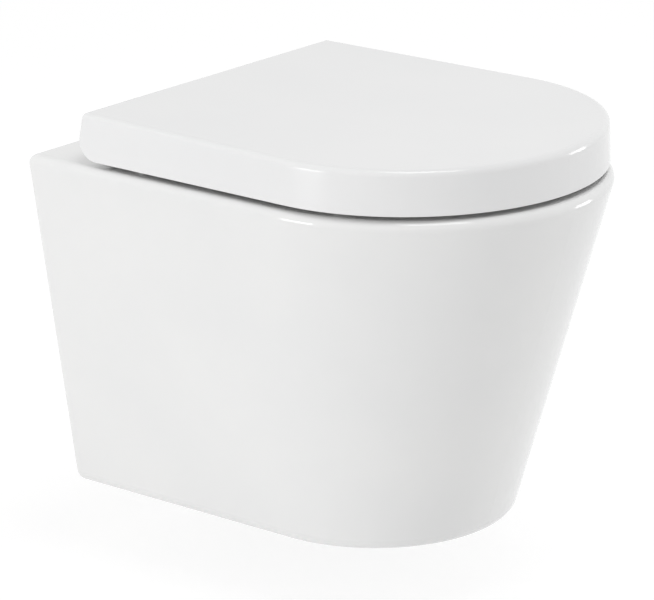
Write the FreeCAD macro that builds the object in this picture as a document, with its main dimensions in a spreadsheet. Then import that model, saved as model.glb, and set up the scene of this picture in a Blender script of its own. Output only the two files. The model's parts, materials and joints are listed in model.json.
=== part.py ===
import FreeCAD, Part

import math
import os
import re

import Sketcher

# Wall hung toilet: a vitreous china pan that is clamped on two wall studs from inside, and a wrap-over
# seat and lid on lift-off, soft-closing hinges.
# Millimetres. +Z is up, the user sits facing -Y, and the wall is the plane y = 0. The origin is midway
# between the two wall studs.
SIZES = {
    # outside of the pan: a D in plan, which leans in from the deck down to the foot
    "pan_width": 381,
    "pan_projection": 480,
    "pan_height": 331,
    "pan_side_length": 281,
    "foot_width": 260,
    "foot_projection": 383,
    "foot_side_length": 257,
    "deck_height": 85,
    "deck_edge_radius": 8,
    "foot_edge_radius": 14,
    "rear_edge_radius": 6,
    # china thicknesses
    "pan_wall": 11,
    "deck_thickness": 13,
    "floor_thickness": 12,
    "bowl_wall": 9,
    "web_thickness": 18,
    "web_drop": 38,
    # bowl
    "bowl_width": 266,
    "bowl_setback": 152,
    "bowl_widest": 285,
    "rim_front": 49,
    "rim_edge_radius": 6,
    "throat_depth": 50,
    "throat_draft": 3,
    "sump_width": 44,
    "sump_front": 250,
    "sump_back": 192,
    "sump_rise": 13,
    "funnel_power": 1.7,
    # water trap, outlet and flush inlet
    "trap_radius": 28,
    "trap_wall": 8,
    "trap_floor": 3,
    "trap_start": 238,
    "trap_slope": 65,
    "trap_low_bend": 42,
    "trap_weir_bend": 38,
    "weir_height": -85,
    "weir_setback": 84,
    "outlet_drop": 100,
    "outlet_radius": 51,
    "outlet_bore": 41,
    "outlet_length": 42,
    "outlet_recess": 3,
    "outlet_floor": 7,
    "inlet_rise": 35,
    "inlet_radius": 27.5,
    "inlet_length": 60,
    "inlet_wall": 10,
    "flush_radius": 18,
    "flush_wall": 7,
    "slot_width": 96,
    "slot_height": 15,
    # wall studs and the hidden clamps on them
    "stud_spacing": 180,
    "stud_hole_radius": 6.5,
    "lug_hole_radius": 16,
    "anchor_play": 0.3,
    "anchor_sleeve_length": 60,
    "anchor_head_length": 37,
    "anchor_head_height": 28,
    "anchor_head_margin": 18,
    "jaw_size": 46,
    "jaw_thickness": 6,
    "jaw_bar_width": 15,
    "jaw_bar_height": 12,
    "jaw_bar_drop": 18,
    "clamp_screw_radius": 4,
    "clamp_screw_head_radius": 6.5,
    "clamp_screw_head_height": 8,
    "clamp_screw_reach": 8,
    "clamp_key_radius": 2.5,
    "clamp_key_depth": 5,
    # seat fixings in the deck
    "seat_hole_spacing": 155,
    "seat_hole_radius": 7,
    "hinge_setback": 80,
    "base_radius": 24,
    "base_thickness": 3,
    "base_pad_thickness": 1,
    "base_edge": 1.2,
    "post_radius": 6.5,
    "post_gap": 9.5,
    "post_head_depth": 4.4,
    "screw_radius": 3,
    "screw_head_radius": 5,
    "screw_head_height": 3.6,
    "screw_play": 0.3,
    "screw_length": 62,
    "plug_play": 0.2,
    "plug_length": 28,
    "nut_length": 10,
    # hinges
    "hinge_radius": 9.8,
    "hinge_length": 46,
    "hinge_foot_width": 25,
    "hinge_foot_back": 8.2,
    "hinge_lift_gap": 0.3,
    "running_play": 0.05,
    "post_socket_gap": 8.8,
    "damper_radius": 7.5,
    "damper_length": 36,
    "rotor_radius": 3.5,
    "rotor_depth": 26,
    "pin_radius": 3,
    "pin_depth": 8,
    "knuckle_reach": 15,
    "knuckle_gap": 1,
    "knuckle_length": 18,
    # release buttons
    "button_width": 19,
    "button_height": 4,
    "button_travel": 2,
    "button_proud": 2.5,
    "button_face_height": 7,
    "button_face_thickness": 2,
    "button_play": 0.3,
    "button_drop": 17,
    # lid
    "lid_width": 369,
    "lid_back": 55,
    "lid_front": 470,
    "lid_side_length": 298,
    "lid_height": 40.3,
    "lid_gap": 5,
    "lid_barrel_radius": 25,
    "lid_side_draft": 2,
    "lid_rear_draft": 9.5,
    "lid_front_draft": 1,
    "lid_edge_radius": 5.5,
    "lid_corner_radius": 4,
    "lid_wall": 4.5,
    "lid_top_thickness": 3.6,
    "hinge_notch_side": 2.5,
    "lug_length": 19,
    # seat ring
    "seat_side_gap": 9,
    "seat_rear_gap": 27,
    "seat_front_gap": 4.5,
    "seat_corner_radius": 14,
    "seat_underside": 9,
    "seat_thickness": 21.5,
    "seat_outer_radius": 7,
    "seat_inner_radius": 8,
    "opening_width": 226,
    "opening_back": 172,
    "opening_widest": 288,
    "opening_front": 414,
    # rubber buffers
    "buffer_radius": 8,
    "buffer_stem_radius": 3,
    "buffer_stem_length": 6,
    "seat_buffer_inset": 22,
    "seat_buffer_front": 335,
    "seat_buffer_back": 190,
    "lid_buffer_radius": 7,
    "lid_buffer_front_inset": 50,
    "lid_buffer_back_inset": 30,
    "lid_buffer_front": 372,
    "lid_buffer_back": 205,
    "lid_buffer_play": 0.2,
}
DECK = "deck_height"
BASE_TOP = "(deck_height + base_pad_thickness + base_thickness)"
AXIS_Y = "-hinge_setback"
AXIS_Z = "(deck_height + lid_gap + lid_barrel_radius)"
HOLE_X = "seat_hole_spacing / 2"
STUD_X = "stud_spacing / 2"
SEAT_HALF = "(lid_width / 2 - lid_wall - seat_side_gap)"
SEAT_FRONT = "(lid_front - lid_wall - seat_front_gap)"
TRAP_HEIGHT = "(deck_height - pan_height + floor_thickness + trap_floor + trap_radius)"
SUMP_HEIGHT = f"({TRAP_HEIGHT} + sump_rise)"
LEFT = -1
RIGHT = 1
SIDES = {"left": LEFT, "right": RIGHT}
# how far a cutting shape runs past the face that it cuts
PAST = 1.0
# two places closer than this are taken as one
NEAR = 1e-4

V = FreeCAD.Vector
ALONG_X = FreeCAD.Rotation(V(0, 1, 0), 90)
ALONG_Y = FreeCAD.Rotation(V(1, 0, 0), -90)
UPRIGHT = FreeCAD.Rotation()

doc = FreeCAD.newDocument("wall_hung_toilet")
sheet = doc.addObject("Spreadsheet::Sheet", "sizes")
for row, (alias, value) in enumerate(SIZES.items(), start=1):
    sheet.set(f"A{row}", alias)
    sheet.set(f"B{row}", str(value))
    sheet.setAlias(f"B{row}", alias)
doc.recompute()
nodes = {}


def formula(text):
    """The sheet's own form of a formula written in plain aliases."""
    return re.sub(r"[a-z_]+", lambda w: f"sizes.{w.group()}" if w.group() in SIZES else w.group(), text)


def size(text):
    """The value of a formula, in millimetres or degrees."""
    return float(sheet.evalExpression(formula(text)))


def bind(item, **formulas):
    """Tie properties of an object to the sheet."""
    for name, text in formulas.items():
        item.setExpression(name, formula(text))
    return item


def put(item, x="0", y="0", z="0", turn=UPRIGHT):
    """Place an object, with its position tied to the sheet."""
    item.Placement = FreeCAD.Placement(V(size(x), size(y), size(z)), turn)
    for axis, text in (("x", x), ("y", y), ("z", z)):
        item.setExpression(f"Placement.Base.{axis}", formula(text))
    return item


def node(name, item):
    """Name a finished piece: its label is its node and its file."""
    item.Label = name
    nodes[name] = item
    return item


def cylinder(name, radius, length, x="0", y="0", z="0", turn=UPRIGHT):
    item = bind(doc.addObject("Part::Cylinder", name), Radius=radius, Height=length)
    return put(item, x, y, z, turn)


def box(name, width, depth, height, x="0", y="0", z="0"):
    """A box centred on x, from y towards +Y and from z up."""
    item = bind(doc.addObject("Part::Box", name), Length=width, Width=depth, Height=height)
    return put(item, f"{x} - ({width}) / 2", y, z)


def fuse(name, *pieces):
    item = doc.addObject("Part::MultiFuse", name)
    item.Shapes = list(pieces)
    return item


def cut(name, base, *tools):
    item = doc.addObject("Part::Cut", name)
    item.Base = base
    item.Tool = tools[0] if len(tools) == 1 else fuse(f"{name}_tools", *tools)
    return item


def free_form(name, shape):
    """A piece whose double-curved skins are lofted in code from the sheet's sizes."""
    item = doc.addObject("Part::Feature", name)
    item.Shape = shape
    item.Placement = FreeCAD.Placement()
    return node(name, item)


def body_with_sketch(name, plane):
    """A new body and an empty sketch on one of its own origin planes."""
    body = doc.addObject("PartDesign::Body", f"{name}_body")
    return body, add_sketch(body, f"{name}_profile", plane)


def add_sketch(body, name, plane):
    sketch = body.newObject("Sketcher::SketchObject", name)
    support = next(part for part in body.Origin.OriginFeatures if part.Role == plane)
    sketch.AttachmentSupport = [(support, "")]
    sketch.MapMode = "FlatFace"
    return sketch


def draw_polygon(sketch, corners):
    """A closed polygon whose corners are pinned by formulas."""
    points = [V(size(x), size(y), 0) for x, y in corners]
    for index, point in enumerate(points):
        sketch.addGeometry(Part.LineSegment(point, points[(index + 1) % len(points)]))
    for index, (x, y) in enumerate(corners):
        follower = (index + 1) % len(corners)
        sketch.addConstraint(Sketcher.Constraint("Coincident", index, 2, follower, 1))
        for kind, text in (("DistanceX", x), ("DistanceY", y)):
            number = sketch.addConstraint(Sketcher.Constraint(kind, index, 1, size(text)))
            sketch.setExpression(f"Constraints[{number}]", formula(text))
    return sketch


def turned(name, corners, x="0", y="0", z="0", turn=UPRIGHT):
    """A lathe-turned piece: corners are (radius, height) about its own Z axis."""
    body, sketch = body_with_sketch(name, "XZ_Plane")
    draw_polygon(sketch, corners)
    doc.recompute()
    lathe = body.newObject("PartDesign::Revolution", f"{name}_turning")
    lathe.Profile = sketch
    lathe.ReferenceAxis = (sketch, ["V_Axis"])
    lathe.Angle = 360
    return node(name, put(body, x, y, z, turn))


# ---------------------------------------------------------------- free-form outlines


def quarter(centre_y, half_width, reach, z, side, ahead=-1):
    """Quarter of an ellipse from the widest point on one side round to the tip ahead (-Y) or behind."""
    half = math.sqrt(0.5)
    arc = Part.Arc(V(side, 0, 0), V(side * half, ahead * half, 0), V(0, ahead, 0)).toShape()
    matrix = FreeCAD.Matrix()
    matrix.scale(V(half_width, reach, 1))
    matrix.move(V(0, centre_y, z))
    return arc.transformGeometry(matrix).Edges[0]


def bay(half_width, rear_half_width, rear, side_end, front, z):
    """A D in plan: straight back, two sides and half an ellipse in front."""
    corners = [V(RIGHT * half_width, side_end, z), V(RIGHT * rear_half_width, rear, z)]
    corners += [V(LEFT * rear_half_width, rear, z), V(LEFT * half_width, side_end, z)]
    sides = [Part.makeLine(first, second) for first, second in zip(corners, corners[1:])]
    nose = [quarter(side_end, half_width, side_end - front, z, side) for side in (LEFT, RIGHT)]
    return Part.Wire(Part.__sortEdges__(sides + nose))


def egg(half_width, back, widest, front, z):
    """An egg in plan: half an ellipse behind the widest line and half a longer one in front."""
    arcs = [quarter(widest, half_width, widest - front, z, side) for side in (LEFT, RIGHT)]
    arcs += [quarter(widest, half_width, back - widest, z, side, ahead=1) for side in (RIGHT, LEFT)]
    return Part.Wire(Part.__sortEdges__(arcs))


def level_edges(shape, z):
    """The edges that lie at one height."""
    return [e for e in shape.Edges if abs(e.BoundBox.ZMin - z) < NEAR and abs(e.BoundBox.ZMax - z) < NEAR]


def upright_edges(shape, y):
    """The straight edges that run up the shape at one distance from the wall."""
    return [
        e for e in shape.Edges
        if abs(e.BoundBox.YMin - y) < NEAR and abs(e.BoundBox.YMax - y) < NEAR and e.BoundBox.ZLength > PAST
    ]


def softened(name, shape, *groups):
    """Round several groups of edges in one go, each group with its own radius, so that they blend."""
    block = doc.addObject("Part::Feature", f"{name}_block")
    block.Shape = shape
    fillet = doc.addObject("Part::Fillet", f"{name}_soft_edges")
    fillet.Base = block
    fillet.Edges = [
        (number, radius, radius)
        for number, edge in enumerate(shape.Edges, start=1)
        for radius, edges in groups if any(edge.isSame(other) for other in edges)
    ]
    doc.recompute()
    return fillet.Shape


# ---------------------------------------------------------------- china pan


def pan_outline(z, inset=0.0, rear=0.0):
    """The pan's outside at one height, moved in by inset."""
    rise = (z - size("deck_height - pan_height")) / size("pan_height")

    def between(foot, deck):
        return size(foot) + (size(deck) - size(foot)) * rise

    half_width = between("foot_width / 2", "pan_width / 2") - inset
    side_end = -between("foot_side_length", "pan_side_length")
    front = inset - between("foot_projection", "pan_projection")
    return bay(half_width, half_width, rear, side_end, front, z)


def pan_block():
    """The pan's outside as a solid block with its soft edges."""
    deck, foot = size(DECK), size("deck_height - pan_height")
    block = Part.makeLoft([pan_outline(foot), pan_outline(deck)], True, True)
    foot_edges = level_edges(block, foot)
    foot_back = [e for e in foot_edges if e.BoundBox.YMin > -NEAR]
    foot_round = [e for e in foot_edges if e.BoundBox.YMin < -NEAR]
    return softened(
        "pan", block,
        (size("deck_edge_radius"), level_edges(block, deck)),
        (size("foot_edge_radius"), foot_round),
        (size("rear_edge_radius"), upright_edges(block, 0.0) + foot_back),
    )


def pan_cavity():
    """The hollow inside the outer skin, open to the wall."""
    low = size("deck_height - pan_height + floor_thickness")
    high = size("deck_height - deck_thickness")
    wall = size("pan_wall")
    return Part.makeLoft([pan_outline(z, wall, PAST) for z in (low, high)], True, True)


def bowl_section(depth, grow):
    """The bowl's outline at a share of the way down from the throat (0) to the sump (1)."""
    spread = 1 - depth ** size("funnel_power")

    def between(sump, throat):
        return size(sump) + (size(throat) - size(sump)) * spread

    throat_half = "(bowl_width / 2 - throat_draft)"
    throat_front = "(rim_front + throat_draft - pan_projection)"
    half_width = between("sump_width / 2", throat_half) + grow
    back = between("-sump_back", "-bowl_setback") + grow
    front = between("-sump_front", throat_front) - grow
    widest = between("-(sump_front + sump_back) / 2", "-bowl_widest")
    top, bottom = size("deck_height - throat_depth"), size(SUMP_HEIGHT)
    return egg(half_width, back, widest, front, top + (bottom - top) * depth)


def bowl(grow, top):
    """The bowl's space (grow 0) or its outer skin (grow by the china's thickness)."""
    shares = (0, 0.2, 0.4, 0.6, 0.8, 0.92, 1)
    funnel = Part.makeLoft([bowl_section(share, grow) for share in shares], True, False)
    lip = egg(
        size("bowl_width / 2") + grow,
        -size("bowl_setback") + grow,
        -size("bowl_widest"),
        size("rim_front - pan_projection") - grow,
        top,
    )
    throat = Part.makeLoft([bowl_section(0, grow), lip], True, True)
    return funnel.fuse(throat)


def trap_path():
    """The middle line of the water trap: along the sump, up over the weir and back to the outlet."""
    slope = math.radians(size("trap_slope"))
    fall = math.radians(25)
    low, weir = size("trap_low_bend"), size("trap_weir_bend")
    start = V(0, -size("trap_start"), size(TRAP_HEIGHT))
    crest = V(0, -size("weir_setback"), size("weir_height") - weir)
    over = crest + V(0, -math.sin(slope), math.cos(slope)) * weir
    rise_end = size(TRAP_HEIGHT) + low * (1 - math.cos(slope))
    run = (over.z - rise_end) / math.sin(slope)
    up = over - V(0, math.cos(slope), math.sin(slope)) * run
    bend = V(0, up.y - low * math.sin(slope), size(TRAP_HEIGHT) + low)
    down = crest + V(0, math.sin(fall), math.cos(fall)) * weir
    last = (down.z + size("outlet_drop")) / (1 - math.cos(fall))
    level = down + V(0, last * math.sin(fall), -size("outlet_drop") - down.z)

    def on_arc(centre, radius, angle):
        return centre + V(0, math.cos(angle), math.sin(angle)) * radius

    quarter_turn = math.pi / 2
    first_mid = on_arc(bend, low, -quarter_turn + slope / 2)
    weir_mid = on_arc(crest, weir, quarter_turn + (slope - fall) / 2)
    last_mid = on_arc(V(0, level.y, level.z + last), last, -quarter_turn - fall / 2)
    edges = [
        Part.makeLine(start, bend - V(0, 0, low)),
        Part.Arc(bend - V(0, 0, low), first_mid, up).toShape(),
        Part.makeLine(up, over),
        Part.Arc(over, weir_mid, down).toShape(),
        Part.Arc(down, last_mid, level).toShape(),
    ]
    return Part.Wire(edges), start, level


def trap(radius):
    """A tube along the trap's middle line, closed by a ball in the sump."""
    path, start, level = trap_path()
    ring = Part.Wire(Part.makeCircle(radius, start, V(0, 1, 0)))
    tube = path.makePipeShell([ring], True, False)
    tail = Part.makeCylinder(radius, -level.y - size("outlet_recess + outlet_floor"), level, V(0, 1, 0))
    return tube.fuse([Part.makeSphere(radius, start), tail])


def horizontal(radius, start_y, end_y, x, z):
    """A cylinder along Y between two distances from the wall."""
    return Part.makeCylinder(radius, end_y - start_y, V(x, start_y, z), V(0, 1, 0))


def centred_box(width, start_y, end_y, low, high):
    return Part.makeBox(width, end_y - start_y, high - low, V(-width / 2, start_y, low))


def flush_way():
    """The flush water's way in: the horn behind the wall, its channel and the slot behind the bowl."""
    inlet_z = size("inlet_rise")
    wall, flush_wall = size("pan_wall"), size("flush_wall")
    inlet_end = -size("inlet_length")
    bowl_back = -size("bowl_setback")
    slot_low, slot_high = inlet_z - size("slot_height / 2"), inlet_z + size("slot_height / 2")
    slot_start = bowl_back + size("inlet_wall")
    china = [
        horizontal(size("inlet_radius + inlet_wall"), inlet_end - wall, 0, 0, inlet_z),
        horizontal(size("flush_radius + flush_wall"), bowl_back - wall, inlet_end, 0, inlet_z),
        centred_box(
            size("slot_width + 2 * flush_wall"), bowl_back - wall, slot_start + 2 * flush_wall,
            slot_low - flush_wall, slot_high + flush_wall,
        ),
    ]
    space = [
        horizontal(size("inlet_radius"), inlet_end, PAST, 0, inlet_z),
        horizontal(size("flush_radius"), bowl_back - wall, inlet_end + PAST, 0, inlet_z),
        centred_box(size("slot_width"), bowl_back - wall, slot_start + flush_wall, slot_low, slot_high),
    ]
    return china, space


def outlet_spigot():
    """The spigot that the waste connector goes over, and its bore."""
    start, end, height = -size("outlet_length + outlet_recess"), -size("outlet_recess"), -size("outlet_drop")
    spigot = horizontal(size("outlet_radius"), start, end, 0, height)
    return spigot, horizontal(size("outlet_bore"), start + size("outlet_floor"), PAST, 0, height)


def seat_holes():
    low = size("deck_height - 2 * deck_thickness")
    return [
        Part.makeCylinder(size("seat_hole_radius"), size("3 * deck_thickness"), V(side * size(HOLE_X), size(AXIS_Y), low))
        for side in SIDES.values()
    ]


def lug_holes():
    start = -size("web_thickness") - PAST
    return [horizontal(size("lug_hole_radius"), start, PAST, side * size(STUD_X), 0) for side in SIDES.values()]


def china_pieces():
    """The one fired piece, drawn as five solids that meet face to face, so that each has a plain form."""
    deck = size(DECK)
    deck_floor = deck - size("deck_thickness")
    block, cavity = pan_block(), pan_cavity()
    bowl_skin, trap_skin = bowl(size("bowl_wall"), deck), trap(size("trap_radius + trap_wall"))
    flush_china, flush_space = flush_way()
    spigot, outlet_space = outlet_spigot()
    spaces = [bowl(0.0, deck + PAST), trap(size("trap_radius")), outlet_space, *flush_space]

    reach = size("pan_width + pan_projection")
    above_floor = centred_box(reach, -reach, PAST, deck_floor, deck + PAST)
    plate = block.common(above_floor).cut([bowl_skin, *seat_holes()])
    skirt = block.cut([cavity, above_floor])

    trap_piece = trap_skin.fuse(spigot).common(cavity).cut(spaces)
    bowl_piece = bowl_skin.cut([trap_skin, *spaces]).removeSplitter()
    inner_rim = [
        e for e in level_edges(bowl_piece, deck)
        if max(abs(e.BoundBox.XMin), e.BoundBox.XMax) < size("(bowl_width + bowl_wall) / 2")
    ]
    bowl_piece = bowl_piece.makeFillet(size("rim_edge_radius"), inner_rim)

    web = centred_box(size("pan_width"), -size("web_thickness"), 0, -size("web_drop"), deck_floor)
    web_piece = web.fuse(flush_china).common(cavity).cut([bowl_skin, trap_skin, *spaces, *lug_holes()])
    return {
        "pan": skirt, "pan_deck": plate, "pan_bowl": bowl_piece,
        "pan_trap": trap_piece.removeSplitter(), "pan_web": web_piece.removeSplitter(),
    }


for name, shape in china_pieces().items():
    free_form(name, shape)

# ---------------------------------------------------------------- hidden wall fixing


def wall_anchor(name, side):
    """A nylon sleeve on the wall stud, with a head that holds the clamp screw."""
    stud_x, hole_x = f"{side} * {STUD_X}", f"{side} * {HOLE_X}"
    head_width = f"({STUD_X} - {HOLE_X} + 2 * anchor_head_margin)"
    middle = f"({side} * ({STUD_X} + {HOLE_X}) / 2)"
    sleeve_length = "(anchor_sleeve_length + anchor_head_length / 2)"
    sleeve = cylinder(
        f"{name}_sleeve", "lug_hole_radius - anchor_play", sleeve_length, stud_x, f"-{sleeve_length}", "0", ALONG_Y
    )
    head = box(
        f"{name}_head", head_width, "anchor_head_length", "anchor_head_height",
        middle, "-anchor_sleeve_length - anchor_head_length", "-anchor_head_height / 2",
    )
    stud_bore = cylinder(
        f"{name}_stud_bore", "stud_hole_radius", "anchor_sleeve_length", stud_x, "-anchor_sleeve_length", "0", ALONG_Y
    )
    thread = cylinder(
        f"{name}_thread", "clamp_screw_radius + screw_play / 3", "2 * anchor_head_height",
        hole_x, AXIS_Y, "-anchor_head_height",
    )
    return node(name, cut(name, fuse(f"{name}_solid", sleeve, head), stud_bore, thread))


def clamp_jaw(name, side):
    """A steel plate that pulls the china's rear web to the wall, with a bar under the clamp screw."""
    stud_x, hole_x = f"{side} * {STUD_X}", f"{side} * {HOLE_X}"
    plate_y = "-web_thickness - anchor_play - jaw_thickness"
    plate = box(f"{name}_plate", "jaw_size", "jaw_thickness", "jaw_size", stud_x, plate_y, "-jaw_size / 2")
    hole = cylinder(
        f"{name}_hole", "lug_hole_radius", "3 * jaw_thickness", stud_x, f"{plate_y} - jaw_thickness", "0", ALONG_Y
    )
    bar_length = "(hinge_setback - web_thickness - anchor_play - clamp_screw_radius)"
    bar = box(
        f"{name}_bar", "jaw_bar_width", bar_length, "jaw_bar_height",
        hole_x, f"-web_thickness - anchor_play - {bar_length}", "-jaw_bar_drop - jaw_bar_height",
    )
    return node(name, cut(name, fuse(f"{name}_solid", plate, bar), hole))


def clamp_screw(name, side):
    """A cone-pointed socket screw that stands in the anchor's head, under the seat's hole."""
    shank = "(anchor_head_height + clamp_screw_reach)"
    top = f"({shank} + clamp_screw_head_height)"
    corners = [
        ("0", "-clamp_screw_radius"), ("clamp_screw_radius", "0"), ("clamp_screw_radius", shank),
        ("clamp_screw_head_radius", shank), ("clamp_screw_head_radius", top), ("clamp_key_radius", top),
        ("clamp_key_radius", f"{top} - clamp_key_depth"), ("0", f"{top} - clamp_key_depth"),
    ]
    foot = "-anchor_head_height / 2 - clamp_screw_reach"
    return turned(name, corners, f"{side} * {HOLE_X}", AXIS_Y, foot)


for place, side in SIDES.items():
    wall_anchor(f"wall_anchor_{place}", side)
    clamp_jaw(f"clamp_jaw_{place}", side)
    clamp_screw(f"clamp_screw_{place}", side)

# ---------------------------------------------------------------- seat fixings in the deck


def ring_corners(inner, outer, low, high):
    return [(inner, low), (outer, low), (outer, high), (inner, high)]


def seat_fixing(place, side):
    """Base plate, post, screw, rubber plug and cone nut on one seat hole."""
    x = f"{side} * {HOLE_X}"
    bore = "(screw_radius + screw_play)"
    turned(f"base_pad_{place}", ring_corners(bore, "base_radius", "0", "base_pad_thickness"), x, AXIS_Y, DECK)
    plate = [
        (bore, "0"), ("base_radius", "0"), ("base_radius", "base_thickness - base_edge"),
        ("base_radius - base_edge", "base_thickness"), (bore, "base_thickness"),
    ]
    turned(f"base_plate_{place}", plate, x, AXIS_Y, "deck_height + base_pad_thickness")
    post_height = f"({AXIS_Z} - post_gap - {BASE_TOP})"
    post = [
        (bore, "0"), ("post_radius", "0"), ("post_radius", f"{post_height} - base_edge / 2"),
        ("post_radius - base_edge / 2", post_height), ("screw_head_radius + screw_play", post_height),
        ("screw_head_radius + screw_play", f"{post_height} - post_head_depth"),
        (bore, f"{post_height} - post_head_depth"),
    ]
    turned(f"hinge_post_{place}", post, x, AXIS_Y, BASE_TOP)
    screw = [
        ("0", "0"), ("screw_radius", "0"), ("screw_radius", "screw_length"), ("screw_head_radius", "screw_length"),
        ("screw_head_radius", "screw_length + screw_head_height"),
        ("screw_radius", "screw_length + screw_head_height"),
        ("screw_radius", "screw_length + screw_head_height / 3"), ("0", "screw_length + screw_head_height / 3"),
    ]
    head_seat = f"({BASE_TOP} + {post_height} - post_head_depth)"
    turned(f"fixing_screw_{place}", screw, x, AXIS_Y, f"{head_seat} - screw_length")
    plug = ring_corners(bore, "seat_hole_radius - plug_play", "0", "plug_length")
    turned(f"expansion_plug_{place}", plug, x, AXIS_Y, "deck_height - plug_length")
    nut = [
        ("screw_radius", "0"), ("seat_hole_radius - plug_play", "0"),
        ("seat_hole_radius - plug_play", "nut_length / 2"), (f"{bore} + screw_play", "nut_length"),
        ("screw_radius", "nut_length"),
    ]
    turned(f"cone_nut_{place}", nut, x, AXIS_Y, "deck_height - plug_length - nut_length")


for place, side in SIDES.items():
    seat_fixing(place, side)

# ---------------------------------------------------------------- hinges


def along_x(name, radius, start, end, side):
    """A cylinder on the hinge axis between two distances from the middle plane, on one side of it."""
    first = start if side == RIGHT else f"-({end})"
    return cylinder(name, radius, f"({end}) - ({start})", first, AXIS_Y, AXIS_Z, ALONG_X)


HINGE_IN = f"({HOLE_X} - hinge_length / 2)"
HINGE_OUT = f"({HOLE_X} + hinge_length / 2)"
SEAT_KNUCKLE = (f"({HINGE_IN} - knuckle_gap - knuckle_length)", f"({HINGE_IN} - knuckle_gap)")
LID_LUG = (f"({HINGE_OUT} + hinge_notch_side)", f"({HINGE_OUT} + hinge_notch_side + lug_length)")


def span(outboard, depth):
    """A stretch of the hinge axis that starts at one end face of the hinge body and goes depth into it."""
    return (f"{HINGE_OUT} - {depth}", HINGE_OUT) if outboard else (HINGE_IN, f"{HINGE_IN} + {depth}")


def hinge_body(place, side, damper_outboard):
    """The housing that drops over a post: damper pocket at one end, plain pin hole at the other."""
    name = f"hinge_body_{place}"
    x = f"{side} * {HOLE_X}"
    foot_z = f"({BASE_TOP} + hinge_lift_gap)"
    barrel = along_x(f"{name}_barrel", "hinge_radius", HINGE_IN, HINGE_OUT, side)
    foot = box(
        f"{name}_foot", "hinge_foot_width", "hinge_radius + hinge_foot_back", f"{AXIS_Z} - {foot_z}",
        x, f"{AXIS_Y} - hinge_radius", foot_z,
    )
    socket = cylinder(
        f"{name}_socket", "post_radius + running_play", f"{AXIS_Z} - post_socket_gap - {foot_z} + {PAST}",
        x, AXIS_Y, f"{foot_z} - {PAST}",
    )
    pocket = along_x(f"{name}_pocket", "damper_radius", *span(damper_outboard, "damper_length"), side)
    hole = along_x(
        f"{name}_pin_hole", "pin_radius + running_play", *span(not damper_outboard, "(pin_depth + anchor_play)"), side
    )
    guide = box(
        f"{name}_guide", "button_width + 2 * button_play", "hinge_radius + post_radius + button_play",
        "button_height + 2 * button_play", x, f"{AXIS_Y} - hinge_radius", f"{AXIS_Z} - button_drop - button_play",
    )
    return node(name, cut(name, fuse(f"{name}_solid", barrel, foot), socket, pocket, hole, guide))


def damper(name, side, outboard, knuckle):
    """A rotary damper: its case fills the hinge's pocket, and its rotor reaches into the turning knuckle."""
    case = along_x(f"{name}_case_bar", "damper_radius", *span(outboard, "damper_length"), side)
    bore = along_x(
        f"{name}_case_bore", "rotor_radius + running_play", *span(outboard, "(rotor_depth + anchor_play)"), side
    )
    node(f"{name}_case", cut(f"{name}_case", case, bore))
    inner = f"{HINGE_OUT} - rotor_depth" if outboard else f"{knuckle[0]} + knuckle_length - knuckle_reach"
    outer = f"{knuckle[0]} + knuckle_reach" if outboard else f"{HINGE_IN} + rotor_depth"
    node(f"{name}_rotor", along_x(f"{name}_rotor", "rotor_radius", inner, outer, side))


def plain_pin(name, side, outboard, knuckle):
    """A steel pin pressed into a knuckle, which turns in the hinge body's hole."""
    inner = f"{HINGE_OUT} - pin_depth" if outboard else f"{knuckle[0]} + knuckle_length - knuckle_reach"
    outer = f"{knuckle[0]} + knuckle_reach" if outboard else f"{HINGE_IN} + pin_depth"
    node(name, along_x(name, "pin_radius", inner, outer, side))


def release_button(place, side):
    """A slide through the hinge's foot that goes round the post like a fork, with a finger pad in front."""
    name = f"release_button_{place}"
    x = f"{side} * {HOLE_X}"
    plate_z = f"{AXIS_Z} - button_drop"
    front = f"({AXIS_Y} - hinge_radius - button_proud)"
    reach = f"({AXIS_Y} + post_radius - button_play - button_travel - {front})"
    plate = box(f"{name}_plate", "button_width", reach, "button_height", x, front, plate_z)
    pad = box(
        f"{name}_pad", "button_width", "button_face_thickness", "button_face_height",
        x, f"{front} - button_face_thickness", f"{plate_z} - (button_face_height - button_height) / 2",
    )
    fork_radius = "(post_radius + button_play)"
    end = cylinder(
        f"{name}_fork_end", fork_radius, "3 * button_height",
        x, f"{AXIS_Y} - button_travel - button_play", f"{plate_z} - button_height",
    )
    gap = box(
        f"{name}_fork_gap", f"2 * {fork_radius}", "4 * post_radius", "3 * button_height",
        x, f"{AXIS_Y} - button_travel - button_play", f"{plate_z} - button_height",
    )
    return node(name, cut(name, fuse(f"{name}_solid", plate, pad), end, gap))


DAMPER_OUTBOARD = {"left": True, "right": False}
for place, side in SIDES.items():
    hinge_body(place, side, DAMPER_OUTBOARD[place])
    release_button(place, side)
damper("lid_damper", LEFT, True, LID_LUG)
damper("seat_damper", RIGHT, False, SEAT_KNUCKLE)
plain_pin("seat_pin", LEFT, False, SEAT_KNUCKLE)
plain_pin("lid_pin", RIGHT, True, LID_LUG)

# ---------------------------------------------------------------- lid


def lid_outline(z, inset=0.0, rear=None):
    """The lid's outside at one height: the sides lean in more towards the back."""
    rise = (z - size("deck_height + lid_gap")) / size("lid_height")
    half_width = size("lid_width / 2") - size("lid_side_draft") * rise - inset
    rear_half_width = size("lid_width / 2") - size("lid_rear_draft") * rise - inset
    front = -size("lid_front") + size("lid_front_draft") * rise + inset
    back = -size("lid_back") - inset if rear is None else rear
    return bay(half_width, rear_half_width, back, -size("lid_side_length"), front, z)


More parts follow.
